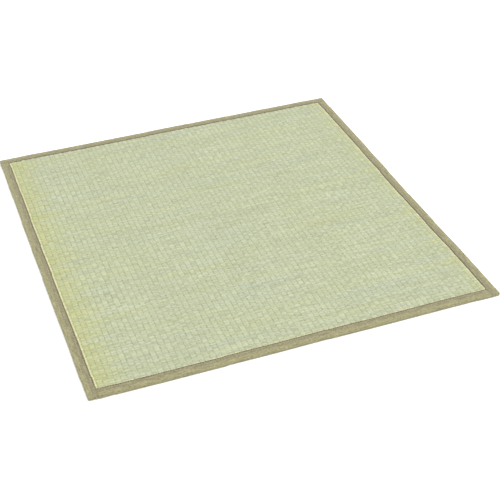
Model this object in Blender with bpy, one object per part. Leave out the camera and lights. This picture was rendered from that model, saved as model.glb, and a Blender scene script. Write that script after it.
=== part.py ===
"""A square tatami mat: a woven rush field with a cloth tape folded over each of its four edges.

Metres, +Z up. The origin is the centre of the underside, the front edge is at -Y, and the woven columns
run from front to back, along Y.
"""

import math

import bmesh
import bpy

# Driving dimensions of the mat
SIDE = 0.88
THICKNESS = 0.008
COLUMNS = 71

# The tapes: what shows of one from above, one layer of its doubled cloth, and its rounding over the edge
TAPE_WIDTH = 0.021
TAPE_CLOTH = 0.001
FOLD_ROUND = 0.003
CORNER_ROUND = 0.004
ROUND_STEPS = 4

# The rush columns: each is a low arch of a few facets between two warps
RIB_HEIGHT = 0.0006
RIB_FACETS = 4
LEFT_HIDDEN = 0.45  # how much of the leftmost column lies under its tape

# Between pieces that touch
GAP = 0.0003

# How far each edge strays inwards at the middle of each eighth of its length, in millimetres.
# The left and right edges are read from front to back, the front and back ones from left to right.
EDGE_STRAY_MM = {
    "left": (0.5, 0.4, 0.5, 0.2, 0.0, 0.2, 0.8, 1.0),
    "right": (0.0, 0.3, 1.5, 1.8, 1.0, 0.4, 0.5, 0.2),
    "front": (0.8, 0.0, 0.1, 0.8, 1.1, 0.7, 0.2, 0.6),
    "back": (0.3, 0.4, 0.6, 0.5, 0.0, 0.7, 0.8, 1.1),
}

HALF = SIDE / 2
CLEAR = 0.01  # how far a cutter passes the faces that it cuts
SHARP = math.radians(60)


def clear_scene():
    for thing in list(bpy.data.objects):
        bpy.data.objects.remove(thing, do_unlink=True)


def cloth_material(name, colour, roughness):
    material = bpy.data.materials.new(name)
    material.use_nodes = True
    shader = material.node_tree.nodes["Principled BSDF"]
    shader.inputs["Base Color"].default_value = (*colour, 1.0)
    shader.inputs["Roughness"].default_value = roughness
    shader.inputs["Metallic"].default_value = 0.0
    return material


def stray(side, inset):
    """How far inwards each station of an edge lies, with the inset of the outline it belongs to."""
    return [inset + millimetres / 1000 for millimetres in EDGE_STRAY_MM[side]]


def stations():
    """The middle of each eighth of a side, from one corner to the other."""
    count = len(EDGE_STRAY_MM["left"])
    return [SIDE * (index + 0.5) / count - HALF for index in range(count)]


def corner(across, across_end, along, along_end, inset):
    """A corner, where a left or right edge meets a front or back one."""
    sign_x = -1 if across == "left" else 1
    sign_y = -1 if along == "front" else 1
    x = sign_x * (HALF - stray(across, inset)[across_end])
    y = sign_y * (HALF - stray(along, inset)[along_end])
    return x, y


def outline(inset):
    """The mat's plan outline, moved inwards: each side as its first corner and its stations, anticlockwise."""
    places = stations()
    front = [(x, inwards - HALF) for x, inwards in zip(places, stray("front", inset))]
    right = [(HALF - inwards, y) for y, inwards in zip(places, stray("right", inset))]
    back = [(x, HALF - inwards) for x, inwards in zip(places, stray("back", inset))]
    left = [(inwards - HALF, y) for y, inwards in zip(places, stray("left", inset))]
    return {
        "front": [corner("left", 0, "front", 0, inset), *front],
        "right": [corner("right", 0, "front", -1, inset), *right],
        "back": [corner("right", -1, "back", -1, inset), *reversed(back)],
        "left": [corner("left", -1, "back", 0, inset), *reversed(left)],
    }


def closed_outline(inset):
    sides = outline(inset)
    return sides["front"] + sides["right"] + sides["back"] + sides["left"]


def solid_from(name, mesh_maker):
    """An object around the closed mesh that mesh_maker leaves in a new bmesh."""
    shape = bmesh.new()
    mesh_maker(shape)
    bmesh.ops.recalc_face_normals(shape, faces=shape.faces)
    mesh = bpy.data.meshes.new(name)
    shape.to_mesh(mesh)
    shape.free()
    solid = bpy.data.objects.new(name, mesh)
    bpy.context.collection.objects.link(solid)
    return solid


def extruded(shape, points, direction):
    """Fills the points as one face and extrudes it along the direction into a closed solid."""
    face = shape.faces.new([shape.verts.new(point) for point in points])
    grown = bmesh.ops.extrude_face_region(shape, geom=[face], use_keep_orig=True)
    moved = [item for item in grown["geom"] if isinstance(item, bmesh.types.BMVert)]
    bmesh.ops.translate(shape, verts=moved, vec=direction)


def prism(name, plan, low, high):
    """A solid that stands on a plan outline, from one height to another."""

    def make(shape):
        extruded(shape, [(x, y, low) for x, y in plan], (0, 0, high - low))

    return solid_from(name, make)


def sharp_edges(shape, upright):
    """The edges between faces that meet sharply: the upright corners, or the rims round the top and bottom."""
    found = []
    for edge in shape.edges:
        rise = abs(edge.verts[0].co.z - edge.verts[1].co.z)
        if (rise > GAP) == upright and edge.calc_face_angle(0) > SHARP:
            found.append(edge)
    return found


def rounded_slab(name, inset):
    """The mat's whole form, set inwards on every face by the same amount, with its corners and rims rounded."""

    def make(shape):
        plan = [(x, y, inset) for x, y in closed_outline(inset)]
        extruded(shape, plan, (0, 0, THICKNESS - 2 * inset))
        bmesh.ops.recalc_face_normals(shape, faces=shape.faces)
        for upright, radius in ((True, CORNER_ROUND), (False, FOLD_ROUND)):
            bmesh.ops.bevel(
                shape,
                geom=sharp_edges(shape, upright),
                offset=radius - inset,
                segments=ROUND_STEPS,
                profile=0.5,
                affect="EDGES",
                material=-1,
            )

    return solid_from(name, make)


def combine(target, operation, tool):
    """Applies one Boolean to the target and removes the tool."""
    modifier = target.modifiers.new(operation, "BOOLEAN")
    modifier.operation = operation
    modifier.solver = "EXACT"
    modifier.object = tool
    graph = bpy.context.evaluated_depsgraph_get()
    mesh = bpy.data.meshes.new_from_object(target.evaluated_get(graph))
    target.modifiers.clear()
    target.data = mesh
    mesh.name = target.name
    bpy.data.objects.remove(tool, do_unlink=True)


def ribbed_block(name):
    """A block as wide and long as the mat, its top a row of low arches side by side."""
    pitch = (SIDE - 2 * TAPE_WIDTH) / (COLUMNS - LEFT_HIDDEN)
    valley = THICKNESS - RIB_HEIGHT
    # One more column at each side reaches under the tapes, where the outline cuts it off.
    steps = (COLUMNS + 2) * RIB_FACETS
    start = TAPE_WIDTH - HALF - (LEFT_HIDDEN + 1) * pitch
    stop = start + (COLUMNS + 2) * pitch
    top = []
    for step in range(steps + 1):
        rise = abs(math.sin(math.pi * step / RIB_FACETS))
        top.append((start + step * pitch / RIB_FACETS, valley + RIB_HEIGHT * rise))
    profile = [(start, 0.0), (stop, 0.0), *reversed(top)]

    def make(shape):
        extruded(shape, [(x, -HALF, z) for x, z in profile], (0, SIDE, 0))

    return solid_from(name, make)


def rush_field(material):
    """The woven body: its ribbed middle shows between the tapes, and its thinner rim lies inside them."""
    field = ribbed_block("rush_field")
    visible = prism("visible", closed_outline(TAPE_WIDTH + GAP), -CLEAR, THICKNESS + CLEAR)
    combine(field, "INTERSECT", visible)
    combine(field, "UNION", rounded_slab("rim", TAPE_CLOTH + GAP))
    field.data.materials.clear()
    field.data.materials.append(material)


def tape_plans():
    """The plan of each tape. The side tapes run over the front one, and the back tape over the side ones."""
    inner = outline(TAPE_WIDTH)
    far = HALF + CLEAR
    front_left, *front = inner["front"]
    front_right, *right = inner["right"]
    back_right, *back = inner["back"]
    back_left, *left = inner["left"]
    return {
        "tape_front": [
            (front_left[0] + GAP, -far),
            (front_right[0] - GAP, -far),
            (front_right[0] - GAP, front_right[1]),
            *reversed(front),
            (front_left[0] + GAP, front_left[1]),
        ],
        "tape_left": [
            (-far, -far),
            (front_left[0], -far),
            front_left,
            *reversed(left),
            (back_left[0], back_left[1] - GAP),
            (-far, back_left[1] - GAP),
        ],
        "tape_right": [
            (far, -far),
            (far, back_right[1] - GAP),
            (back_right[0], back_right[1] - GAP),
            *reversed(right),
            front_right,
            (front_right[0], -far),
        ],
        "tape_back": [
            (far, far),
            (-far, far),
            (-far, back_left[1]),
            back_left,
            *reversed(back),
            back_right,
            (far, back_right[1]),
        ],
    }


def tape(name, plan, material):
    """One length of tape: the mat's form over that edge, hollowed for the rim of the rush."""
    strip = rounded_slab(name, 0.0)
    combine(strip, "INTERSECT", prism("reach", plan, -CLEAR, THICKNESS + CLEAR))
    combine(strip, "DIFFERENCE", rounded_slab("channel", TAPE_CLOTH))
    strip.data.materials.clear()
    strip.data.materials.append(material)


clear_scene()
rush = cloth_material("woven_rush", (0.55, 0.60, 0.40), 0.6)
binding = cloth_material("olive_tape", (0.40, 0.38, 0.23), 0.85)
rush_field(rush)
for tape_name, tape_plan in tape_plans().items():
    tape(tape_name, tape_plan, binding)
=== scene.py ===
# %% [markdown]
# # A bound rush mat
# The mat is a woven panel of dried rush with a cloth tape folded over each edge. This lesson loads the plain
# solids of the mat as a frame and dresses them: the weave, the tapes, their stitches, and the light.

# %% Load the frame
import math

import bmesh
import bpy
import numpy as np
from mathutils import Matrix, Quaternion, Vector


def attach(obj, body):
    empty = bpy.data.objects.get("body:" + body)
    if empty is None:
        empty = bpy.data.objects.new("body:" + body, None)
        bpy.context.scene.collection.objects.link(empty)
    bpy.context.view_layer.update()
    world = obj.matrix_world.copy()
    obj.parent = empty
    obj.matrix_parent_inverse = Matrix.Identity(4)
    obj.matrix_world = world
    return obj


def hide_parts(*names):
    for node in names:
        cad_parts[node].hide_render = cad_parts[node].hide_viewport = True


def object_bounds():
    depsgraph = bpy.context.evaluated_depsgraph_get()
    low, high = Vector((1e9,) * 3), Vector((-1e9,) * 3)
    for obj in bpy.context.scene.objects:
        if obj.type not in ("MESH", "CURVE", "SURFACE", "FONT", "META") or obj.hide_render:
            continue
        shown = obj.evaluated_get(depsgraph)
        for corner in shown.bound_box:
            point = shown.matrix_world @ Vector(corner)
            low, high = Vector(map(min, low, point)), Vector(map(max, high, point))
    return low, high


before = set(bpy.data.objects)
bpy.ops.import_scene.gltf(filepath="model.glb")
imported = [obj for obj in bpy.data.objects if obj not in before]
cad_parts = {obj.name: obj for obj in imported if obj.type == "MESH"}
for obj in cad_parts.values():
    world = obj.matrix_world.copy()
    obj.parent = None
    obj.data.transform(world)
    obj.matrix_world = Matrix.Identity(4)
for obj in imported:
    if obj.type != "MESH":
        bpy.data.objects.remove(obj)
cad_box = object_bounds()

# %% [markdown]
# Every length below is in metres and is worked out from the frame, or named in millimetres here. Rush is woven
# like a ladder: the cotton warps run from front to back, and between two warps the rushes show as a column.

MM = 0.001
SIDE = cad_box[1].x - cad_box[0].x
THICK = cad_box[1].z - cad_box[0].z
TAPE_WIDTH = 21 * MM
COLUMNS = 71
FIRST_COLUMN = 0.55  # how much of the leftmost column lies under its tape
COLUMN = (SIDE - 2 * TAPE_WIDTH) / (COLUMNS - FIRST_COLUMN)
FLOATS = 322  # each is drawn two rushes deep, because one alone is thinner than a pixel
FLOAT = (SIDE - 2 * TAPE_WIDTH) / FLOATS
SEED = 88
print("mat", round(SIDE, 4), "thick", round(THICK, 4), "column", round(COLUMN / MM, 2), "mm, float",
      round(FLOAT / MM, 2), "mm")

# %% [markdown]
# The sewn edges aren't quite straight. The frame's tapes have that waver already, so it is read from their
# outer walls, and everything that follows an edge asks edge() where it is.

# %% Where the edges are
SIDES = {"left": (0, -1), "right": (0, 1), "front": (1, -1), "back": (1, 1)}


def edge_line(side):
    """Places along an edge and how far out it lies there, from the upright wall of its tape."""
    axis, sign = SIDES[side]
    places = np.array([vertex.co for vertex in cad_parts["tape_" + side].data.vertices])
    # The wall's points lie about halfway up, far out, and clear of the rounded corners.
    upright = np.abs(places[:, 2] - THICK / 2) < 1.5 * MM
    outer = sign * places[:, axis] > SIDE / 2 - 3 * MM
    inside = np.abs(places[:, 1 - axis]) < SIDE / 2 - 6 * MM
    wall = places[upright & outer & inside]
    wall = wall[np.argsort(wall[:, 1 - axis])]
    return wall[:, 1 - axis], wall[:, axis]


EDGES = {side: edge_line(side) for side in SIDES}


def edge(side, along, inset=0.0):
    """The x of a left or right edge at some y, or the y of a front or back edge at some x."""
    places, outs = EDGES[side]
    return np.interp(along, places, outs) - SIDES[side][1] * inset


print("edge readings", {side: len(line[0]) for side, line in EDGES.items()})

# %% [markdown]
# Nothing handmade is even, so lengths, heights and places get a small smooth waver: a few sine waves with
# lengths and phases from a seeded generator, which gives the same mat on every run.


# %% A smooth waver
def waver(seed, longest, shortest, waves=5):
    """A function of a length in metres, within about -1 to 1, made of sine waves between two wavelengths."""
    rng = np.random.default_rng(seed)
    lengths = longest * (shortest / longest) ** rng.random(waves)
    phases = rng.random(waves) * 2 * math.pi

    def at(along):
        along = np.asarray(along)[..., None]
        return np.sin(2 * math.pi * along / lengths + phases).sum(-1) / math.sqrt(waves)

    return at


# %% [markdown]
# Two helpers serve all the pieces: one turns a bmesh into an object, the other gives a mesh a UV map from a
# value for each of its points, so that a pattern follows the cloth.


# %% Helpers for meshes
def piece_from(shape, name, material):
    mesh = bpy.data.meshes.new(name)
    shape.to_mesh(mesh)
    shape.free()
    piece = bpy.data.objects.new(name, mesh)
    bpy.context.scene.collection.objects.link(piece)
    mesh.materials.append(material)
    return piece


def points_of(mesh):
    points = np.empty(len(mesh.vertices) * 3)
    mesh.vertices.foreach_get("co", points)
    return points.reshape(-1, 3)


def set_points(mesh, points):
    mesh.vertices.foreach_set("co", np.ascontiguousarray(points, dtype=np.float64).ravel())
    mesh.update()


def set_map(mesh, name, u, v):
    """Writes a UV map from one u and one v for each point of the mesh."""
    corner_points = np.empty(len(mesh.loops), dtype=np.int32)
    mesh.loops.foreach_get("vertex_index", corner_points)
    values = np.stack([u[corner_points], v[corner_points]], axis=1)
    layer = mesh.uv_layers.new(name=name)
    layer.data.foreach_set("uv", values.astype(np.float32).ravel())


# %% [markdown]
# A material is a small graph of nodes. Colours are written as the sRGB hex codes that a colour picker shows,
# and one function turns them to the linear values that Blender works in.


# %% Helpers for materials
def linear(code):
    """An sRGB hex colour as linear red, green, blue and alpha."""
    parts = [int(code[place:place + 2], 16) / 255 for place in (0, 2, 4)]
    return [part / 12.92 if part <= 0.04045 else ((part + 0.055) / 1.055) ** 2.4 for part in parts] + [1.0]


def add(tree, kind, inputs=None, **settings):
    """Adds a node and sets it. An input takes a value, a node's first output, or a pair of node and output."""
    node = tree.nodes.new(kind)
    for name, value in settings.items():
        setattr(node, name, value)
    for name, value in (inputs or {}).items():
        source = value if isinstance(value, tuple) else (value, 0)
        if isinstance(source[0], bpy.types.Node):
            tree.links.new(source[0].outputs[source[1]], node.inputs[name])
        else:
            node.inputs[name].default_value = value
    return node


def new_material(name, roughness, sheen, specular=0.5):
    """A cloth material with its shader and the number sockets that are the same all over."""
    material = bpy.data.materials.new(name)
    material.use_nodes = True
    shader = material.node_tree.nodes["Principled BSDF"]
    shader.inputs["Roughness"].default_value = roughness
    shader.inputs["IOR"].default_value = 1.5
    shader.inputs["Specular IOR Level"].default_value = specular
    shader.inputs["Sheen Weight"].default_value = sheen
    shader.inputs["Sheen Roughness"].default_value = 0.5
    return material, material.node_tree, shader


# %% [markdown]
# Dried rush, igusa, is a matte stalk about 1.3 mm thick, pale green in its middle and yellow at its ends. Each
# rush keeps its own tint along its whole length, but in a plain weave it shows only in every second column.
# So the colour is drawn by rush: the weave map counts columns across and floats along, and odd columns are
# shifted by half a float.

# %% Rush numbers
SEPARATE = 400.0  # sets the even columns' rushes far apart from the odd columns' in the noise


def rush_numbers(tree):
    """The weave map, its two parts, and the numbers of the column and of the rush that shows in it."""
    weave = add(tree, "ShaderNodeUVMap", uv_map="weave")
    place = add(tree, "ShaderNodeSeparateXYZ", {0: weave})
    column = add(tree, "ShaderNodeMath", {0: (place, "X")}, operation="FLOOR")
    parity = add(tree, "ShaderNodeMath", {0: column, 1: 2.0}, operation="MODULO")
    shifted = add(tree, "ShaderNodeMath", {0: parity, 1: 0.5, 2: (place, "Y")}, operation="MULTIPLY_ADD")
    row = add(tree, "ShaderNodeMath", {0: shifted}, operation="FLOOR")
    pair = add(tree, "ShaderNodeMath", {0: row, 1: 2.0}, operation="MULTIPLY")
    rush = add(tree, "ShaderNodeMath", {0: pair, 1: parity}, operation="SUBTRACT")
    apart = add(tree, "ShaderNodeMath", {0: parity, 1: SEPARATE, 2: column}, operation="MULTIPLY_ADD")
    number = add(tree, "ShaderNodeCombineXYZ", {"X": apart, "Y": rush})
    return weave, place, number, rush


# %% [markdown]
# The brightness of a place adds up three small differences: one for the sheaf of rushes that were laid
# together, one for this float alone, and the mottling that mud dyeing leaves on it. Where one sheaf ends and
# the next starts, a darker rush shows. The dip between two columns, where the warp ties the rushes down,
# is darker, partly with dust and partly with painted shade.


# %% Rush brightness
RUSH_TONES = {"sheaf": 0.26, "spot": -0.16, "mottle": 0.60}  # how much each difference counts
TONE_MIDDLE = 1.04
SHEAF_WIDTH = 4.65 * MM  # three or four rushes side by side
SHEAF_KEEPS = 198 * MM  # how far along its rushes a sheaf keeps its brightness
MOTTLE_ACROSS = 4.25 * MM
MOTTLE_ALONG = 4.34 * MM
BORDER_NARROW = 0.07  # how close to its middle the noise is where a darker rush divides two sheaves
BORDER_SHADE = 0.82
DIP_SHARE = 0.18  # how much of a column lies in shade beside each warp
DIP_DARK = 0.63
DIP_PALE = 0.91


def rush_shade(tree, weave, place, number):
    """A factor about 1 that the colour is multiplied by."""
    sheaf_steps = (COLUMN / SHEAF_KEEPS, FLOAT / 2 / SHEAF_WIDTH, 1.0)
    laid = add(tree, "ShaderNodeMapping", {"Vector": number, "Scale": sheaf_steps})
    sheaf = add(tree, "ShaderNodeTexNoise", {"Vector": laid, "Scale": 1.0, "Detail": 0.0})
    spot = add(tree, "ShaderNodeTexWhiteNoise", {"Vector": number}, noise_dimensions="2D")
    mottle_steps = (COLUMN / MOTTLE_ACROSS, FLOAT / MOTTLE_ALONG, 1.0)
    fine = add(tree, "ShaderNodeMapping", {"Vector": weave, "Scale": mottle_steps})
    mottle = add(tree, "ShaderNodeTexNoise", {"Vector": fine, "Scale": 1.0, "Detail": 2.0})
    tone = TONE_MIDDLE - sum(RUSH_TONES.values()) / 2
    for name, part in {"sheaf": sheaf, "spot": spot, "mottle": mottle}.items():
        tone = add(tree, "ShaderNodeMath", {0: part, 1: RUSH_TONES[name], 2: tone}, operation="MULTIPLY_ADD")
    from_middle = add(tree, "ShaderNodeMath", {0: sheaf, 1: 0.5}, operation="SUBTRACT")
    from_border = add(tree, "ShaderNodeMath", {0: from_middle}, operation="ABSOLUTE")
    border = add(
        tree,
        "ShaderNodeMapRange",
        {"Value": from_border, "From Min": 0.0, "From Max": BORDER_NARROW, "To Min": BORDER_SHADE},
    )
    # The dips beside the warps hold dust and painted shade, deeper in some places than in others
    dip_dust_and_shade = add(
        tree,
        "ShaderNodeMapRange",
        {"Value": mottle, "From Min": 0.35, "From Max": 0.65, "To Min": DIP_DARK, "To Max": DIP_PALE},
    )
    in_column = add(tree, "ShaderNodeMath", {0: (place, "X"), 1: 0.5}, operation="PINGPONG")
    dip = add(
        tree,
        "ShaderNodeMapRange",
        {"Value": in_column, "From Min": 0.0, "From Max": DIP_SHARE, "To Min": dip_dust_and_shade, "To Max": 1.0},
    )
    darkest = add(tree, "ShaderNodeMath", {0: dip, 1: border}, operation="MINIMUM")
    return add(tree, "ShaderNodeMath", {0: tone, 1: darkest}, operation="MULTIPLY")


# %% [markdown]
# The hue goes from pale bluish green to yellow green in streaks along the rushes, because rushes from one
# bundle lie together. Both ends of a rush are yellower, further in on some rushes than on others. Beside the
# tapes a thin cream line is a painted highlight, where the outermost rushes, pressed flat, catch the light.


# %% Rush hue
RUSH_PALE = "999F88"
RUSH_YELLOW = "9EA280"
RUSH_END = "9FA16B"
RUSH_PAINTED_HIGHLIGHT = "B8B58D"
STREAK_LENGTH = 264 * MM
STREAK_WIDTH = 23.7 * MM
OWN_TINT = 0.15  # how much a rush differs from its bundle
END_START = 2.0  # columns inside the field's edge where the yellowing of an average rush starts
END_SPAN = 9.0
END_RAGGED = 8.0  # how many columns sooner it starts on the yellowest rushes
END_SHIFT = 1.5  # the yellow ends reach further in on the left, and less far on the right
MIDDLE = (COLUMNS + FIRST_COLUMN) / 2
# The painted highlight beside the tapes is full out to CREAM_FULL from a tape and gone by CREAM_GONE
CREAM_FULL = 2.2 * MM
CREAM_GONE = 3.6 * MM
CREAM_LESS = 1.5 * MM  # how much narrower the cream line is along the front and back


def rush_hue(tree, weave, place, rush):
    """The colour before its brightness changes."""
    streak_steps = (COLUMN / STREAK_LENGTH, FLOAT / STREAK_WIDTH, 1.0)
    streak = add(tree, "ShaderNodeMapping", {"Vector": weave, "Scale": streak_steps})
    bundle = add(tree, "ShaderNodeTexNoise", {"Vector": streak, "Scale": 1.0, "Detail": 4.0})
    own = add(tree, "ShaderNodeTexWhiteNoise", {"W": rush}, noise_dimensions="1D")
    mixture = add(tree, "ShaderNodeMath", {0: own, 1: OWN_TINT, 2: bundle}, operation="MULTIPLY_ADD")
    yellow = add(tree, "ShaderNodeMapRange", {"Value": mixture, "From Min": 0.35, "From Max": 0.8})
    body = add(
        tree,
        "ShaderNodeMix",
        {0: yellow, 6: linear(RUSH_PALE), 7: linear(RUSH_YELLOW)},
        data_type="RGBA",
    )
    centre = MIDDLE + END_SHIFT
    from_centre = add(tree, "ShaderNodeMath", {0: (place, "X"), 1: centre}, operation="SUBTRACT")
    outwards = add(tree, "ShaderNodeMath", {0: from_centre}, operation="ABSOLUTE")
    ragged = add(tree, "ShaderNodeMath", {0: mixture, 1: END_RAGGED, 2: outwards}, operation="MULTIPLY_ADD")
    start = centre - END_START
    end = add(tree, "ShaderNodeMapRange", {"Value": ragged, "From Min": start, "From Max": start + END_SPAN})
    ended = add(tree, "ShaderNodeMix", {0: end, 6: (body, 2), 7: linear(RUSH_END)}, data_type="RGBA")
    half = COLUMN * (COLUMNS - FIRST_COLUMN) / 2
    near = []
    for axis, middle, step, less in (("X", MIDDLE, COLUMN, 0.0), ("Y", FLOATS / 2, FLOAT, CREAM_LESS)):
        from_middle = add(tree, "ShaderNodeMath", {0: (place, axis), 1: middle}, operation="SUBTRACT")
        steps = add(tree, "ShaderNodeMath", {0: from_middle}, operation="ABSOLUTE")
        inputs = {0: steps, 1: -step, 2: half + less}
        near.append(add(tree, "ShaderNodeMath", inputs, operation="MULTIPLY_ADD"))
    nearest = add(tree, "ShaderNodeMath", {0: near[0], 1: near[1]}, operation="MINIMUM")
    # A painted highlight: the thin cream line on the rushes beside the tapes
    painted_highlight = add(
        tree,
        "ShaderNodeMapRange",
        {"Value": nearest, "From Min": CREAM_FULL, "From Max": CREAM_GONE, "To Min": 1.0, "To Max": 0.0},
    )
    return add(tree, "ShaderNodeMix", {0: painted_highlight, 6: (ended, 2), 7: linear(RUSH_PAINTED_HIGHLIGHT)}, data_type="RGBA")


# %% [markdown]
# The two come together in the material, with the fine lengthwise ridges of the stalks as a bump. To the eye it
# is dry and nearly matte: a stalk has a faint waxy gloss, which the low sheen and specular level give.


# %% Rush material
SHADE_WARMTH = 1.3
RIDGE = 0.3 * MM  # between the fine ridges of a stalk
RIDGE_LENGTH = 6.7 * MM


def woven_rush():
    material, tree, shader = new_material("woven_igusa_rush", roughness=0.6, sheen=0.03, specular=0.3)
    weave, place, number, rush = rush_numbers(tree)
    shade = rush_shade(tree, weave, place, number)
    hue = rush_hue(tree, weave, place, rush)
    # Shade between rushes is warm, so blue falls a little faster than red and green.
    blue = add(tree, "ShaderNodeMath", {0: shade, 1: SHADE_WARMTH}, operation="POWER")
    shading = add(tree, "ShaderNodeCombineColor", {"Red": shade, "Green": shade, "Blue": blue})
    colour = add(
        tree, "ShaderNodeMix", {0: 1.0, 6: (hue, 2), 7: shading}, data_type="RGBA", blend_type="MULTIPLY"
    )
    tree.links.new(colour.outputs[2], shader.inputs["Base Color"])
    stalk = add(tree, "ShaderNodeTexCoord")
    ridge_steps = (1 / RIDGE_LENGTH, 1 / RIDGE, 1 / RIDGE)
    ridges = add(tree, "ShaderNodeMapping", {"Vector": (stalk, "Object"), "Scale": ridge_steps})
    fibres = add(tree, "ShaderNodeTexNoise", {"Vector": ridges, "Scale": 1.0, "Detail": 2.0})
    bump = add(tree, "ShaderNodeBump", {"Height": fibres, "Strength": 0.35, "Distance": 0.1 * MM})
    tree.links.new(bump.outputs["Normal"], shader.inputs["Normal"])
    return material


rush_material = woven_rush()
print("rush material has", len(rush_material.node_tree.nodes), "nodes")

# %% [markdown]
# The tape is a thin plain-woven cotton and polyester cloth, matte and olive. Its map runs along the tape and
# across the cloth, both in metres, so threads stay square to the edge round the fold. Its inner half is
# greyer than its outer half. Painted shade darkens a faint crease between them, the seam's groove with its
# needle holes, and the turned inner edge.

# %% Tape material
TAPE_OUTER = "827E5B"
TAPE_INNER = "7A7458"
TAPE_PAINTED_SHADE = "3E3A26"
CLOTH_THREAD = 0.7 * MM  # a little coarser than the real one, so that it still shows close to
STITCH_PITCH = 5 * MM
# Across the tape, counted from its inner edge
INNER_HALF = 7 * MM
OUTER_HALF = 14 * MM
CREASE = 9 * MM
CREASE_REACH = 1.6 * MM
# The seam's groove holds painted shade out to SEAM_FULL and none by SEAM_GONE; the turned edge's painted
# shadow runs out from TURN_FULL to TURN_GONE
SEAM_FULL = 1.6 * MM
SEAM_GONE = 3.4 * MM
TURN_FULL = 0.6 * MM
TURN_GONE = 2 * MM
# Along the tape, counted from a needle's hole, whose painted shadow fades from HOLE to PUCKER
HOLE = 0.8 * MM
PUCKER = 1.8 * MM
# How much of the painted shade shows at the crease, along the turned edge, and of the seam's beyond an inner
# corner
CREASE_SHADE = 0.08
TURN_SHADE = 0.4
CORNER_SHADE = 0.15  # what is left of the seam's marks beyond an inner corner
CORNER_FADE = 4 * MM  # over which they fade there


def tape_colour(tree, along, across):
    """The colour across the tape: two halves, and painted shade at a crease, the seam and the inner edge."""
    halves = add(tree, "ShaderNodeMapRange", {"Value": across, "From Min": INNER_HALF, "From Max": OUTER_HALF})
    cloth = add(
        tree, "ShaderNodeMix", {0: halves, 6: linear(TAPE_INNER), 7: linear(TAPE_OUTER)}, data_type="RGBA"
    )
    # Painted shade along a faint crease between the two halves
    from_crease = add(tree, "ShaderNodeMath", {0: across, 1: CREASE, 2: CREASE_REACH}, operation="COMPARE")
    painted_crease = add(tree, "ShaderNodeMath", {0: from_crease, 1: CREASE_SHADE}, operation="MULTIPLY")
    # Painted shadows of the needle holes and of the seam's groove
    from_needle = add(tree, "ShaderNodeMath", {0: along, 1: STITCH_PITCH / 2}, operation="PINGPONG")
    needle = add(
        tree,
        "ShaderNodeMapRange",
        {"Value": from_needle, "From Min": HOLE, "From Max": PUCKER, "To Min": 1.0, "To Max": 0.0},
    )
    # The seam goes round each inner corner and doesn't reach the ends of the tape.
    from_middle = add(tree, "ShaderNodeMath", {0: along}, operation="ABSOLUTE")
    corner = SIDE / 2 - TAPE_WIDTH
    seam = add(
        tree,
        "ShaderNodeMapRange",
        {
            "Value": from_middle,
            "From Min": corner,
            "From Max": corner + CORNER_FADE,
            "To Min": 1.0,
            "To Max": CORNER_SHADE,
        },
    )
    seam_hole_shadows = add(tree, "ShaderNodeMath", {0: needle, 1: seam}, operation="MULTIPLY")
    seam_shadow = add(
        tree,
        "ShaderNodeMapRange",
        {"Value": across, "From Min": SEAM_FULL, "From Max": SEAM_GONE, "To Min": seam_hole_shadows, "To Max": 0.0},
    )
    # Painted shadow along the turned inner edge, where the tape meets the weave
    shaded = add(
        tree,
        "ShaderNodeMapRange",
        {"Value": across, "From Min": TURN_FULL, "From Max": TURN_GONE, "To Min": TURN_SHADE, "To Max": 0.0},
    )
    turned = add(tree, "ShaderNodeMath", {0: shaded, 1: seam}, operation="MULTIPLY")
    beside = add(tree, "ShaderNodeMath", {0: seam_shadow, 1: turned}, operation="MAXIMUM")
    painted_shade = add(tree, "ShaderNodeMath", {0: painted_crease, 1: beside}, operation="MAXIMUM")
    return add(tree, "ShaderNodeMix", {0: painted_shade, 6: (cloth, 2), 7: linear(TAPE_PAINTED_SHADE)}, data_type="RGBA")


SLUB_LENGTH = 28.6 * MM
SLUB_WIDTH = 1.67 * MM
PATCH = 4.55 * MM  # where the cloth has worn or faded a little differently


def tape_cloth():
    """To the eye a dull, dusty olive cloth, soft along its folds, which the sheen gives."""
    material, tree, shader = new_material("plain_woven_cotton_tape", roughness=0.85, sheen=0.15)
    cloth = add(tree, "ShaderNodeUVMap", uv_map="cloth")
    place = add(tree, "ShaderNodeSeparateXYZ", {0: cloth})
    colour = tape_colour(tree, (place, "X"), (place, "Y"))
    # Slubs are threads that are thicker or darker for a few centimetres.
    thread_steps = (1 / SLUB_LENGTH, 1 / SLUB_WIDTH, 1.0)
    threads = add(tree, "ShaderNodeMapping", {"Vector": cloth, "Scale": thread_steps})
    slubs = add(tree, "ShaderNodeTexNoise", {"Vector": threads, "Scale": 1.0, "Detail": 2.0})
    patches = add(tree, "ShaderNodeTexNoise", {"Vector": cloth, "Scale": 1 / PATCH, "Detail": 3.0})
    both = add(tree, "ShaderNodeMath", {0: slubs, 1: patches}, operation="ADD")
    tone = add(
        tree,
        "ShaderNodeMapRange",
        {"Value": both, "From Min": 0.7, "From Max": 1.3, "To Min": 0.62, "To Max": 1.38},
    )
    grey = add(tree, "ShaderNodeCombineColor", {"Red": tone, "Green": tone, "Blue": tone})
    toned = add(
        tree, "ShaderNodeMix", {0: 1.0, 6: (colour, 2), 7: grey}, data_type="RGBA", blend_type="MULTIPLY"
    )
    tree.links.new(toned.outputs[2], shader.inputs["Base Color"])
    turns = 2 * math.pi / CLOTH_THREAD
    weft_turn = add(tree, "ShaderNodeMath", {0: (place, "X"), 1: turns}, operation="MULTIPLY")
    warp_turn = add(tree, "ShaderNodeMath", {0: (place, "Y"), 1: turns}, operation="MULTIPLY")
    weft = add(tree, "ShaderNodeMath", {0: weft_turn}, operation="SINE")
    warp = add(tree, "ShaderNodeMath", {0: warp_turn}, operation="SINE")
    knots = add(tree, "ShaderNodeMath", {0: weft, 1: warp}, operation="MULTIPLY")
    bump = add(tree, "ShaderNodeBump", {"Height": knots, "Strength": 0.3, "Distance": 0.1 * MM})
    tree.links.new(bump.outputs["Normal"], shader.inputs["Normal"])
    return material


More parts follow.
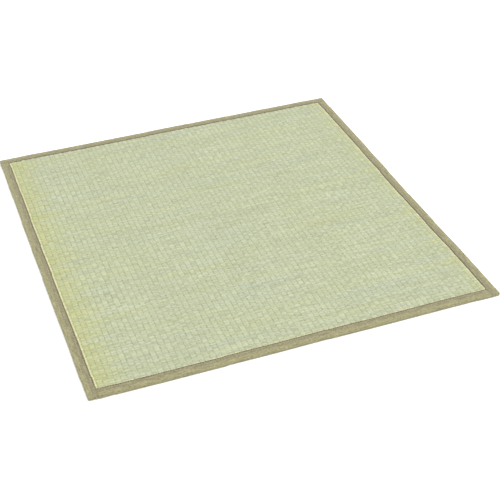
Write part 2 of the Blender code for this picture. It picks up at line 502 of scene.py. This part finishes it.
tape_material = tape_cloth()
print("tape material has", len(tape_material.node_tree.nodes), "nodes")

# %% [markdown]
# The thread of the seams is the same olive, dull, and uneven where its plies turn.

# %% Thread material
THREAD_DARK = "6E694D"
THREAD_PALE = "827C5E"
PLY = 1.1 * MM  # the length of thread in which its plies turn once


def sewing_thread():
    material, tree, shader = new_material("spun_polyester_thread", roughness=0.7, sheen=0.1)
    place = add(tree, "ShaderNodeTexCoord")
    ply = add(tree, "ShaderNodeTexNoise", {"Vector": (place, "Object"), "Scale": 1 / PLY, "Detail": 1.0})
    colour = add(
        tree, "ShaderNodeMix", {0: ply, 6: linear(THREAD_DARK), 7: linear(THREAD_PALE)}, data_type="RGBA"
    )
    tree.links.new(colour.outputs[2], shader.inputs["Base Color"])
    return material


thread_material = sewing_thread()

# %% [markdown]
# The weave's relief is real: a column is a low arch between two warps, and a float is a small ridge across it.
# A grid with four cells to a column and four to a float is enough, if its lines fall on the dips. One
# mesh of the whole field would be too heavy, so the field is made as four strips that meet in a dip between
# columns.

# %% Heights and places of the weave
COLUMN_PLACES = (0.0, 0.13, 0.5, 0.87)
FLOAT_STEPS = 4
RIB_DEPTH = 0.7 * MM
FLOAT_DEPTH = 0.4 * MM
STRIPS = 4
BODY_TOP = THICK - 1.3 * MM
SLIT = 0.25 * MM  # between the tape's edge and the weave
PRESSED = 0.5 * MM  # how far the tape's seam presses the weave down beside it
PRESS_REACH = 4 * MM
UNEVEN = 0.06 * MM  # how much one float is higher than another
BELOW_TOP = 0.1 * MM  # keeps the highest floats near the frame's top
STRIP_LIFT = 0.05 * MM  # between the strips and the body under them
ARCH_FULLNESS = 0.6  # a power below 1 makes an arch fuller than a sine
RIDGE_FULLNESS = 0.8
WARP_WAVER = 0.3 * MM
RUSH_WAVER = 0.9 * MM
CALM_COLUMNS = 2  # columns and floats beside the tapes over which the wavers fade out
CALM_FLOATS = 20
FIELD_LOW = -SIDE / 2 + TAPE_WIDTH + SLIT
FIELD_HIGH = -FIELD_LOW
rng = np.random.default_rng(SEED)
float_heights = rng.normal(0.0, UNEVEN, (COLUMNS + 1, FLOATS + 2))
warp_wavers = [waver(SEED + number, 0.5, 0.04) for number in range(COLUMNS + 1)]
rush_wavers = [waver(SEED + 200 + number, 0.6, 0.12) for number in range(3)]


def weave_height(u, v):
    """The top of the weave at a place in columns and floats."""
    column = np.floor(u).astype(int)
    arch = np.sin(math.pi * (u - column)) ** ARCH_FULLNESS
    shifted = v + 0.5 * (column % 2)
    ridge = np.abs(np.sin(math.pi * shifted)) ** RIDGE_FULLNESS
    own = float_heights[np.clip(column, 0, COLUMNS), np.clip(np.floor(shifted).astype(int), 0, FLOATS + 1)]
    on_arch = arch * (own * ridge - FLOAT_DEPTH * (1 - ridge))
    return THICK - BELOW_TOP - RIB_DEPTH * (1 - arch) + on_arch


def weave_place(u, v):
    """The x and y of a place in columns and floats: nearly a square grid, fitted between the tapes."""
    x = FIELD_LOW + (FIELD_HIGH - FIELD_LOW) * (u - FIRST_COLUMN) / (COLUMNS - FIRST_COLUMN)
    y = FIELD_LOW + (FIELD_HIGH - FIELD_LOW) * v / FLOATS
    first = np.floor(u).astype(int)
    offsets = np.zeros_like(x)
    for number in np.unique(first):
        here = first == number
        share = u[here] - number
        left = warp_wavers[number](y[here])
        right = warp_wavers[min(number + 1, COLUMNS)](y[here])
        offsets[here] = left * (1 - share) + right * share
    inside = np.minimum(np.minimum(u - FIRST_COLUMN, COLUMNS - u) / CALM_COLUMNS, 1.0)
    x_moved = x + WARP_WAVER * offsets * inside
    # Rushes that lie together wave alike. Two of the wavers slant, so this changes from front to back.
    lean = rush_wavers[0](x) + 0.7 * rush_wavers[1](x + 0.6 * y) + 0.5 * rush_wavers[2](x - 0.4 * y)
    inside = np.minimum(np.minimum(v, FLOATS - v) / CALM_FLOATS, 1.0)
    y_moved = y + RUSH_WAVER * lean * inside
    for side, coordinate in (("left", 0), ("right", 0), ("front", 1), ("back", 1)):
        along = y if coordinate == 0 else x
        straight = x if coordinate == 0 else y
        wanted = edge(side, along, TAPE_WIDTH + SLIT)
        border = SIDES[side][1] * FIELD_HIGH
        pull = np.clip(1 - np.abs(straight - border) / (2 * COLUMN), 0, 1) * (wanted - border)
        if coordinate == 0:
            x_moved = x_moved + pull
        else:
            y_moved = y_moved + pull
    return x_moved, y_moved


# %% [markdown]
# Each strip starts as a flat grid. Its long sides are pulled down to make walls, the walls are bridged
# underneath, and the two ends are filled, which closes it. Only then are its points moved to the weave's
# places and heights.


# %% Weave strips
def chain_at(shape, x):
    """The boundary edges that lie on a line of equal x."""
    return [link for link in shape.edges
            if link.is_boundary and all(abs(vertex.co.x - x) < 1e-6 for vertex in link.verts)]


def weave_strip(name, first, last):
    lines = [number + place for number in range(first, last) for place in COLUMN_PLACES]
    lines = [line for line in lines if line > FIRST_COLUMN] + [last]
    if first == 0:
        lines = [FIRST_COLUMN, *lines]
    cells_across = len(lines) - 1
    cells_along = FLOATS * FLOAT_STEPS
    shape = bmesh.new()
    bmesh.ops.create_grid(shape, x_segments=cells_across, y_segments=cells_along, size=0.5)
    walls = []
    for x in (-0.5, 0.5):
        grown = bmesh.ops.extrude_edge_only(shape, edges=chain_at(shape, x))["geom"]
        new_points = [item for item in grown if isinstance(item, bmesh.types.BMVert)]
        bmesh.ops.translate(shape, verts=new_points, vec=(0, 0, -1))
        walls += [item for item in grown if isinstance(item, bmesh.types.BMEdge)
                  and all(vertex.co.z < -0.5 for vertex in item.verts)]
    bmesh.ops.bridge_loops(shape, edges=walls)
    bmesh.ops.holes_fill(shape, edges=[link for link in shape.edges if link.is_boundary], sides=0)
    bmesh.ops.recalc_face_normals(shape, faces=shape.faces)
    strip = piece_from(shape, name, rush_material)
    mesh = strip.data
    points = points_of(mesh)
    step_across = np.rint((points[:, 0] + 0.5) * cells_across).astype(int)
    step_along = np.rint((points[:, 1] + 0.5) * cells_along)
    u = np.array(lines)[step_across]
    v = step_along / FLOAT_STEPS
    top = points[:, 2] > -0.5
    x, y = weave_place(u, v)
    from_side = np.minimum(u - FIRST_COLUMN, COLUMNS - u) * COLUMN
    from_tape = np.minimum(from_side, np.minimum(v, FLOATS - v) * FLOAT)
    dip = PRESSED * np.clip(1 - from_tape / PRESS_REACH, 0, 1) ** 2
    z = np.where(top, weave_height(u, v) - dip, BODY_TOP + STRIP_LIFT)
    set_points(mesh, np.stack([x, y, z], axis=1))
    set_map(mesh, "weave", u, v)
    mesh.shade_smooth()
    mesh.set_sharp_from_angle(angle=math.radians(60))
    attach(strip, "root")
    print(name, "points", len(mesh.vertices), "faces", len(mesh.polygons))
    return strip


cuts = [round(COLUMNS * number / STRIPS) for number in range(STRIPS + 1)]
strips = [weave_strip(f"rush_weave_{number + 1}", cuts[number], cuts[number + 1]) for number in range(STRIPS)]

# %% [markdown]
# Under the raised weave lies the rest of the panel's thickness, one flat body. Its middle reaches the floor,
# and its thinner rim goes into the tapes. It starts as the outline of the visible field and grows
# upwards by extruding and scaling its top face.

# %% Rush body
BODY_RIM = 13 * MM
RIM_LIFT = 1.4 * MM


def field_outline(inset, step=40 * MM):
    """The mat's outline moved inwards, anticlockwise from the front left corner."""
    reach = SIDE / 2 - inset
    places = np.linspace(-reach, reach, int(2 * reach / step) + 1)[:-1]
    front = [(x, edge("front", x, inset)) for x in places]
    right = [(edge("right", y, inset), y) for y in places]
    back = [(x, edge("back", x, inset)) for x in -places]
    left = [(edge("left", y, inset), y) for y in -places]
    return front + right + back + left


def grow(shape, face, rise, factor=1.0):
    """Extrudes a face and lifts or scales the new one, which it returns."""
    grown = bmesh.ops.extrude_face_region(shape, geom=[face])["geom"]
    corners = [item for item in grown if isinstance(item, bmesh.types.BMVert)]
    bmesh.ops.delete(shape, geom=[face], context="FACES_ONLY")
    bmesh.ops.translate(shape, verts=corners, vec=(0, 0, rise))
    bmesh.ops.scale(shape, verts=corners, vec=(factor, factor, 1))
    return next(item for item in grown if isinstance(item, bmesh.types.BMFace))


def rush_body():
    shape = bmesh.new()
    base = shape.faces.new([shape.verts.new((x, y, 0)) for x, y in field_outline(TAPE_WIDTH + SLIT)])
    top = bmesh.ops.extrude_face_region(shape, geom=[base], use_keep_orig=True)["geom"]
    corners = [item for item in top if isinstance(item, bmesh.types.BMVert)]
    bmesh.ops.translate(shape, verts=corners, vec=(0, 0, RIM_LIFT))
    face = next(item for item in top if isinstance(item, bmesh.types.BMFace))
    factor = 1 + 2 * BODY_RIM / (FIELD_HIGH - FIELD_LOW)
    face = grow(shape, face, 0, factor)
    face = grow(shape, face, THICK - 2 * RIM_LIFT)
    face = grow(shape, face, 0, 1 / factor)
    grow(shape, face, BODY_TOP - (THICK - RIM_LIFT))
    bmesh.ops.recalc_face_normals(shape, faces=shape.faces)
    body = piece_from(shape, "rush_body", rush_material)
    points = points_of(body.data)
    u = FIRST_COLUMN + (points[:, 0] - FIELD_LOW) / COLUMN
    v = (points[:, 1] - FIELD_LOW) / FLOAT
    set_map(body.data, "weave", u, v)
    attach(body, "root")
    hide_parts("rush_field")
    return body


body = rush_body()
print("rush body faces", len(body.data.polygons))

# %% [markdown]
# A tape starts flat, as the strip that a sewer cuts, and is folded by moving each row of its points to its
# place in a section: turned under at the inner edge, over the top, round the outer edge and back underneath.
# Solidify then gives the cloth its thickness, inwards from this outer face.

# %% The folded section
CLOTH = 0.5 * MM
HEM = 8 * MM
HEM_TURN = CLOTH + 0.05 * MM  # radius of the turned-in edge, over two layers
FOLD_ROUND = 3 * MM
SEAM = 2.4 * MM  # from the inner edge to its row of stitches
GROOVE = 0.35 * MM


def arc(centre, radius, start, end, steps):
    """Points on an arc in the section, without its first one."""
    angles = np.radians(np.linspace(start, end, steps + 1)[1:])
    return [(centre[0] + radius * math.cos(angle), centre[1] + radius * math.sin(angle)) for angle in angles]


def folded_section():
    """Places from the outer edge inwards, and heights, all round the tape, with the length of cloth so far."""
    turn_centre = TAPE_WIDTH - HEM_TURN
    top_turn = (turn_centre, THICK - HEM_TURN)
    low_turn = (turn_centre, HEM_TURN)
    hem_top = THICK - 2 * HEM_TURN
    path = [(TAPE_WIDTH - HEM, hem_top), (TAPE_WIDTH - HEM / 2, hem_top), (turn_centre, hem_top)]
    path += arc(top_turn, HEM_TURN, -90, 90, 6)
    inner_start = len(path) - 3
    path += [(place, THICK) for place in np.linspace(turn_centre, FOLD_ROUND, 16)[1:]]
    path += arc((FOLD_ROUND, THICK - FOLD_ROUND), FOLD_ROUND, 90, 180, 6)
    path += arc((FOLD_ROUND, FOLD_ROUND), FOLD_ROUND, 180, 270, 6)
    path += [(place, 0.0) for place in np.linspace(FOLD_ROUND, turn_centre, 8)[1:]]
    path += arc(low_turn, HEM_TURN, -90, 90, 4)
    path += [(TAPE_WIDTH - HEM / 2, 2 * HEM_TURN), (TAPE_WIDTH - HEM, 2 * HEM_TURN)]
    path = np.array(path)
    lengths = np.concatenate([[0.0], np.cumsum(np.hypot(*np.diff(path, axis=0).T))])
    return path, lengths, lengths[inner_start]


section, cloth_run, inner_edge_run = folded_section()

# %% [markdown]
# Along its length each tape waves a little, sinks at its row of stitches, and is closed at an end that shows
# by drawing it in to a round nose, as a turned-in end is.

# %% Tapes
STATION = 6 * MM
NOSE = 3 * MM
NOSE_STEPS = 6
CORNER_ROUND = 2.5 * MM
UNDERLAP = 2 * MM  # how far an open end reaches under the tape that it meets
OPEN_SLIM = 0.06
TUCK = 25 * MM  # from a closed end to the crease where its turned-in cloth stops
TUCK_DEPTH = 1 * MM
TUCK_WIDTH = 1.2 * MM
TUCK_REACH = 0.7 * TAPE_WIDTH
TIP_LEFT = 0.01  # share of the height that is left at a closed tip
GROOVE_WIDTH = 1.1 * MM
HOLLOW = 0.12 * MM  # how far the tape's middle sinks
WANDER = 0.3 * MM  # how far the sewn edge strays


def stations_along(start, stop, closed_start, closed_stop):
    """Places along a tape, closer together in a closed end and at its crease."""
    nose = NOSE * (1 - np.cos(np.linspace(0, math.pi / 2, NOSE_STEPS + 1)))
    end = np.concatenate([nose, TUCK + np.linspace(-3, 3, 7) * MM])
    first = start + end if closed_start else np.array([start])
    last = stop - end[::-1] if closed_stop else np.array([stop])
    count = int((last[0] - first[-1]) / STATION)
    return np.concatenate([first, np.linspace(first[-1], last[0], count + 1)[1:-1], last])


def closing(along, start, stop, closed_start, closed_stop):
    """1 along the tape, falling in a quarter circle to nearly 0 at the tip of a closed end."""
    share = np.ones_like(along)
    for tip, closed in ((start, closed_start), (stop, closed_stop)):
        if closed:
            away = np.clip(np.abs(along - tip) / NOSE, 0, 1)
            share = np.minimum(share, np.sqrt(np.clip(1 - (1 - away) ** 2, 0, 1)))
    return share


def face_out(mesh):
    """Turns the faces so that those on top point up."""
    highest = max(mesh.polygons, key=lambda face: face.center.z)
    if highest.normal.z < 0:
        mesh.flip_normals()


def tape(side, start, stop, closed_start=False, closed_stop=False):
    axis, sign = SIDES[side]
    places = stations_along(start, stop, closed_start, closed_stop)
    rows = len(section)
    shape = bmesh.new()
    bmesh.ops.create_grid(shape, x_segments=len(places) - 1, y_segments=rows - 1, size=0.5)
    strip = piece_from(shape, "bound_tape_" + side, tape_material)
    mesh = strip.data
    points = points_of(mesh)
    along = places[np.rint((points[:, 0] + 0.5) * (len(places) - 1)).astype(int)]
    row = np.rint((points[:, 1] + 0.5) * (rows - 1)).astype(int)
    inwards, height = section[row].T
    seed = SEED + 300 + list(SIDES).index(side) * 10
    wander = waver(seed, 0.3, 0.03)(along)
    ripple = waver(seed + 1, 0.12, 0.018)(along)
    # The seam's groove, deeper and shallower along it, in the top face only
    on_top = np.clip((height - THICK * 0.8) / (THICK * 0.1), 0, 1)
    from_seam = inwards - (TAPE_WIDTH - SEAM)
    height = height - on_top * GROOVE * (1 + 0.35 * ripple) * np.exp(-(from_seam / GROOVE_WIDTH) ** 2)
    middle = np.sin(math.pi * np.clip(inwards / TAPE_WIDTH, 0, 1))
    height = height - on_top * HOLLOW * (1 + ripple) * middle
    for tip, way, closed in ((start, 1, closed_start), (stop, -1, closed_stop)):
        from_tip = way * (along - tip)
        if closed:
            crease = np.exp(-((from_tip - TUCK) / TUCK_WIDTH) ** 2)
            height = height - on_top * TUCK_DEPTH * crease * np.clip(1 - inwards / TUCK_REACH, 0, 1)
        else:
            # Squeezed a little thinner, to slip under the tape that it meets
            slim = OPEN_SLIM * np.clip(1 - from_tip / (2 * UNDERLAP), 0, 1)
            height = height + slim * (THICK / 2 - height)
    share = inwards / TAPE_WIDTH
    inwards = inwards + WANDER * wander * share
    # A closed end
    drawn = closing(along, start, stop, closed_start, closed_stop)
    height = THICK / 2 + (height - THICK / 2) * np.maximum(drawn, TIP_LEFT)
    inwards = inwards + CORNER_ROUND * (1 - drawn) * np.clip(1 - inwards / (3 * CORNER_ROUND), 0, 1)
    out = edge(side, along) - sign * inwards
    moved = np.empty_like(points)
    moved[:, axis] = out
    moved[:, 1 - axis] = along
    moved[:, 2] = height
    set_points(mesh, moved)
    set_map(mesh, "cloth", along, cloth_run[row] - inner_edge_run)
    face_out(mesh)
    mesh.shade_smooth()
    thickness = strip.modifiers.new("cloth", "SOLIDIFY")
    thickness.thickness = CLOTH
    thickness.offset = -1
    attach(strip, "root")
    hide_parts("tape_" + side)
    print(strip.name, "from", round(float(start), 4), "to", round(float(stop), 4), "faces", len(mesh.polygons))
    return strip


CLEAR = 0.3 * MM  # the gap that the frame leaves between its tapes
front_end = float(edge("front", -SIDE / 2))
front_end_right = float(edge("front", SIDE / 2))
back_seam = float(edge("back", -SIDE / 2, TAPE_WIDTH + CLEAR))
back_seam_right = float(edge("back", SIDE / 2, TAPE_WIDTH + CLEAR))
left_seam = float(edge("left", -SIDE / 2, TAPE_WIDTH + CLEAR))
right_seam = float(edge("right", -SIDE / 2, TAPE_WIDTH + CLEAR))
tapes = {
    "front": tape("front", left_seam - UNDERLAP, right_seam + UNDERLAP),
    "left": tape("left", front_end, back_seam + UNDERLAP, closed_start=True),
    "right": tape("right", front_end_right, back_seam_right + UNDERLAP, closed_start=True),
    "back": tape("back", float(edge("left", SIDE / 2)), float(edge("right", SIDE / 2)), True, True),
}

# %% [markdown]
# A lockstitch seam holds each tape down along its inner edge. Every stitch that lies on top is a short length
# of thread, sunk in its groove: a six-sided rod with tapered ends, between two of the needle's holes.

# %% Stitches
STITCH = 3.4 * MM
THREAD = 0.18 * MM  # its radius
TAPER = 0.15  # share of a stitch that tapers at each of its ends
TIP = 0.4  # how thick it still is there
THREAD_SUNK = 0.02 * MM  # how far its middle line lies below the groove


def add_stitch(shape, place, turn):
    """One thread with tapered ends, laid along X or Y by its turn and moved to its place."""
    stitch = bmesh.new()
    bmesh.ops.create_cone(
        stitch, cap_ends=True, segments=6, radius1=THREAD, radius2=THREAD, depth=STITCH * (1 - 2 * TAPER)
    )
    ends = [face for face in stitch.faces if abs(face.normal.z) > 0.9]
    for face in ends:
        way = math.copysign(1, face.normal.z)
        tip = bmesh.ops.extrude_discrete_faces(stitch, faces=[face])["faces"][0]
        bmesh.ops.translate(stitch, verts=tip.verts, vec=(0, 0, way * STITCH * TAPER))
        centre = Matrix.Translation(-tip.calc_center_median())
        bmesh.ops.scale(stitch, verts=tip.verts, vec=(TIP, TIP, 1), space=centre)
    stitch.transform(Matrix.Translation(place) @ turn)
    mesh = bpy.data.meshes.new("stitch")
    stitch.to_mesh(mesh)
    stitch.free()
    shape.from_mesh(mesh)
    bpy.data.meshes.remove(mesh)


def stitch_row(side, start, stop):
    axis, sign = SIDES[side]
    turn = Matrix.Rotation(math.pi / 2, 4, "X" if axis == 0 else "Y")
    shape = bmesh.new()
    first = math.ceil(start / STITCH_PITCH) + 1
    last = math.floor(stop / STITCH_PITCH) - 1
    for number in range(first, last):
        along = STITCH_PITCH * (number + 0.5)
        place = [0.0, 0.0, THICK - GROOVE - THREAD_SUNK]
        place[axis] = float(edge(side, along, TAPE_WIDTH - SEAM))
        place[1 - axis] = along
        add_stitch(shape, place, turn)
    row = piece_from(shape, "seam_stitches_" + side, thread_material)
    row.data.shade_smooth()
    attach(row, "root")
    print(row.name, last - first, "stitches")
    return row


spans = {
    "front": (left_seam, right_seam),
    "left": (front_end + NOSE, back_seam),
    "right": (front_end_right + NOSE, back_seam_right),
    "back": (-SIDE / 2 + NOSE, SIDE / 2 - NOSE),
}
seams = {side: stitch_row(side, *span) for side, span in spans.items()}

# %% [markdown]

# %% [markdown]
# The mat lies on a plain pale floor, under one wide soft lamp, nearly overhead, and an even sky. The
# camera looks down at it over its front left corner, from standing height.


# %% Floor, light and camera
FLOOR_REACH = 12
FLOOR_DROP = 0.1 * MM  # keeps it clear of the mat's underside


def paper_floor():
    """To the eye plain white paper without any shine."""
    shape = bmesh.new()
    bmesh.ops.create_grid(shape, x_segments=1, y_segments=1, size=FLOOR_REACH)
    bmesh.ops.translate(shape, verts=shape.verts, vec=(0, 0, -FLOOR_DROP))
    material, tree, shader = new_material("matte_white_paper", roughness=0.95, sheen=0.0, specular=0.0)
    shader.inputs["Base Color"].default_value = linear("F4F4F2")
    floor = piece_from(shape, "floor", material)


def soft_lamp(name, place, size, power):
    lamp = bpy.data.lights.new(name, "AREA")
    lamp.shape = "SQUARE"
    lamp.size = size
    lamp.energy = power
    holder = bpy.data.objects.new(name, lamp)
    holder.location = place
    holder.rotation_euler = (-Vector(place)).to_track_quat("-Z", "Y").to_euler()
    bpy.context.scene.collection.objects.link(holder)


def even_sky(strength):
    world = bpy.data.worlds.new("even_sky")
    world.use_nodes = True
    world.node_tree.nodes["Background"].inputs["Color"].default_value = (1, 1, 1, 1)
    world.node_tree.nodes["Background"].inputs["Strength"].default_value = strength
    bpy.context.scene.world = world


CAMERA_PLACE = Vector((-0.6744, -1.8040, 1.4017))
CAMERA_AIM = Vector((-0.1093, -0.0667, 0.0))
CAMERA_ROLL = math.radians(-1.63)
CAMERA_LENS = 75.12
CAMERA_SHIFT = 0.1189  # the photograph was framed a little to the right of where its camera pointed


def photo_camera():
    data = bpy.data.cameras.new("camera")
    data.lens = CAMERA_LENS
    data.sensor_width = 36
    data.shift_x = CAMERA_SHIFT
    camera = bpy.data.objects.new("camera", data)
    camera.location = CAMERA_PLACE
    level = (CAMERA_AIM - CAMERA_PLACE).to_track_quat("-Z", "Y")
    camera.rotation_euler = (level @ Quaternion((0, 0, 1), CAMERA_ROLL)).to_euler()
    bpy.context.scene.collection.objects.link(camera)
    bpy.context.scene.camera = camera


paper_floor()
soft_lamp("softbox", (2.0, -1.5, 7.5), size=4.0, power=290)
even_sky(strength=1.3)
photo_camera()
bpy.context.scene.view_settings.view_transform = "Standard"
